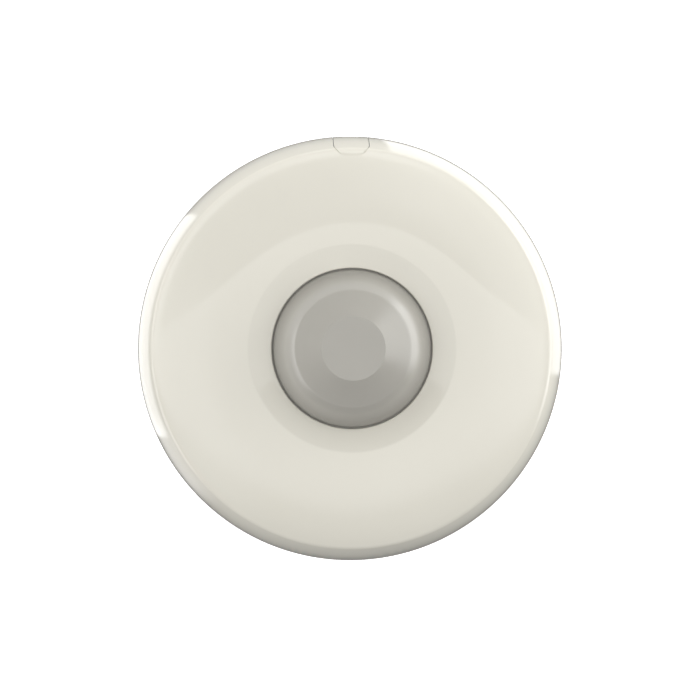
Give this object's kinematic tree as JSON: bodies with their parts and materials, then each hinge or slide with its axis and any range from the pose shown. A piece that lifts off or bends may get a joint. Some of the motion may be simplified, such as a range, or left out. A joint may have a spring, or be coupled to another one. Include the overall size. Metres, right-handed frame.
{
  "type": "motion sensor",
  "caption": "Round ceiling motion sensor: gloss ivory cover, grey dome lens in a shallow cone, release catch at the rim, screw-down base with circuit board.",
  "frame": {"origin": "centre of the base's back face, the face that meets the ceiling", "axes": "+Z out through the lens, away from the ceiling; +Y towards the release catch; +X completes the frame"},
  "size_m": [0.106, 0.1059, 0.034],
  "materials": {
    "cover_ivory": "polished injection-moulded ABS, warm ivory",
    "base_ivory": "satin injection-moulded ABS, warm ivory",
    "lens_film": "translucent grey polyethylene lens",
    "white_nylon": "white moulded nylon",
    "solder_mask": "green solder mask on glass-fibre board",
    "black_epoxy": "black moulded epoxy",
    "screw_steel": "zinc-plated steel",
    "sensor_steel": "nickel-plated can",
    "spring_steel": "drawn spring wire",
    "infrared_filter": "dark silicon filter",
    "led_red": "tinted clear epoxy",
    "relay_ivory": "relay case",
    "capacitor_sleeve": "shrink sleeve on an aluminium can",
    "terminal_green": "green polyamide",
    "cage_brass": "plated brass cage",
    "switch_red": "red switch housing",
    "trimmer_blue": "blue trimmer body"
  },
  "bodies": {
    "base": {"mounting_base": "base_ivory", "circuit_board": "solder_mask", "board_screw_1": "screw_steel", "board_screw_2": "screw_steel", "board_screw_3": "screw_steel", "sensor_spacer": "black_epoxy", "pyro_sensor_can": "sensor_steel", "pyro_sensor_window": "infrared_filter", "indicator_led": "led_red", "microcontroller": "black_epoxy", "amplifier_chip": "black_epoxy", "alarm_relay": "relay_ivory", "supply_capacitor": "capacitor_sleeve", "filter_capacitor": "capacitor_sleeve", "voltage_regulator": "black_epoxy", "terminal_block": "terminal_green", "tamper_switch": "black_epoxy", "tamper_spring": "spring_steel", "option_switch_housing": "switch_red", "range_trimmer_base": "trimmer_blue"},
    "cover": {"front_cover": "cover_ivory", "fresnel_lens": "lens_film", "lens_retainer": "white_nylon"},
    "catch": {"release_catch": "cover_ivory"},
    "tamper_button": {"tamper_plunger": "white_nylon"},
    "trimmer": {"range_trimmer_rotor": "white_nylon"},
    "slider_1": {"option_slider_1": "white_nylon"},
    "slider_2": {"option_slider_2": "white_nylon"},
    "slider_3": {"option_slider_3": "white_nylon"},
    "clamp_screw_1": {"terminal_screw_1": "screw_steel"},
    "clamp_cage_1": {"terminal_cage_1": "cage_brass"},
    "clamp_screw_2": {"terminal_screw_2": "screw_steel"},
    "clamp_cage_2": {"terminal_cage_2": "cage_brass"},
    "clamp_screw_3": {"terminal_screw_3": "screw_steel"},
    "clamp_cage_3": {"terminal_cage_3": "cage_brass"},
    "clamp_screw_4": {"terminal_screw_4": "screw_steel"},
    "clamp_cage_4": {"terminal_cage_4": "cage_brass"},
    "clamp_screw_5": {"terminal_screw_5": "screw_steel"},
    "clamp_cage_5": {"terminal_cage_5": "cage_brass"},
    "clamp_screw_6": {"terminal_screw_6": "screw_steel"},
    "clamp_cage_6": {"terminal_cage_6": "cage_brass"}
  },
  "joints": [
    {"name": "cover_swing", "type": "hinge", "parent": "base", "child": "cover", "pos_m": [0, -0.053, 0.0005], "axis": [1, 0, 0], "range_deg": [0, 70]},
    {"name": "catch_flex", "type": "hinge", "parent": "base", "child": "catch", "pos_m": [0, 0.04935, 0.0024], "axis": [1, 0, 0], "range_deg": [0, 5], "stiffness_Nm_per_rad": 1},
    {"name": "tamper_release", "type": "slide", "parent": "base", "child": "tamper_button", "axis": [0, 0, 1], "range_m": [0, 0.0015], "deforming": ["tamper_spring"]},
    {"name": "option_1_slide", "type": "slide", "parent": "base", "child": "slider_1", "axis": [0, 1, 0], "range_m": [0, 0.0015]},
    {"name": "option_2_slide", "type": "slide", "parent": "base", "child": "slider_2", "axis": [0, 1, 0], "range_m": [0, 0.0015]},
    {"name": "option_3_slide", "type": "slide", "parent": "base", "child": "slider_3", "axis": [0, 1, 0], "range_m": [0, 0.0015]},
    {"name": "range_turn", "type": "hinge", "parent": "base", "child": "trimmer", "pos_m": [0.015, 0.024, 0.0105], "axis": [0, 0, 1], "range_deg": [-135, 135]},
    {"name": "clamp_1_lift", "type": "slide", "parent": "base", "child": "clamp_cage_1", "axis": [0, 0, 1], "range_m": [0, 0.00112]},
    {"name": "clamp_1_turn", "type": "hinge", "parent": "base", "child": "clamp_screw_1", "pos_m": [-0.00875, -0.0253, 0.012], "axis": [0, 0, -1], "range_deg": [0, 900]},
    {"name": "clamp_2_lift", "type": "slide", "parent": "base", "child": "clamp_cage_2", "axis": [0, 0, 1], "range_m": [0, 0.00112]},
    {"name": "clamp_2_turn", "type": "hinge", "parent": "base", "child": "clamp_screw_2", "pos_m": [-0.00525, -0.0253, 0.012], "axis": [0, 0, -1], "range_deg": [0, 900]},
    {"name": "clamp_3_lift", "type": "slide", "parent": "base", "child": "clamp_cage_3", "axis": [0, 0, 1], "range_m": [0, 0.00112]},
    {"name": "clamp_3_turn", "type": "hinge", "parent": "base", "child": "clamp_screw_3", "pos_m": [-0.00175, -0.0253, 0.012], "axis": [0, 0, -1], "range_deg": [0, 900]},
    {"name": "clamp_4_lift", "type": "slide", "parent": "base", "child": "clamp_cage_4", "axis": [0, 0, 1], "range_m": [0, 0.00112]},
    {"name": "clamp_4_turn", "type": "hinge", "parent": "base", "child": "clamp_screw_4", "pos_m": [0.00175, -0.0253, 0.012], "axis": [0, 0, -1], "range_deg": [0, 900]},
    {"name": "clamp_5_lift", "type": "slide", "parent": "base", "child": "clamp_cage_5", "axis": [0, 0, 1], "range_m": [0, 0.00112]},
    {"name": "clamp_5_turn", "type": "hinge", "parent": "base", "child": "clamp_screw_5", "pos_m": [0.00525, -0.0253, 0.012], "axis": [0, 0, -1], "range_deg": [0, 900]},
    {"name": "clamp_6_lift", "type": "slide", "parent": "base", "child": "clamp_cage_6", "axis": [0, 0, 1], "range_m": [0, 0.00112]},
    {"name": "clamp_6_turn", "type": "hinge", "parent": "base", "child": "clamp_screw_6", "pos_m": [0.00875, -0.0253, 0.012], "axis": [0, 0, -1], "range_deg": [0, 900]}
  ],
  "couplings": [
    {"joint": "tamper_release", "follows": "cover_swing", "m_per_rad": 0.001227},
    {"joint": "clamp_1_turn", "follows": "clamp_1_lift", "rad_per_m": 13963},
    {"joint": "clamp_2_turn", "follows": "clamp_2_lift", "rad_per_m": 13963},
    {"joint": "clamp_3_turn", "follows": "clamp_3_lift", "rad_per_m": 13963},
    {"joint": "clamp_4_turn", "follows": "clamp_4_lift", "rad_per_m": 13963},
    {"joint": "clamp_5_turn", "follows": "clamp_5_lift", "rad_per_m": 13963},
    {"joint": "clamp_6_turn", "follows": "clamp_6_lift", "rad_per_m": 13963}
  ]
}
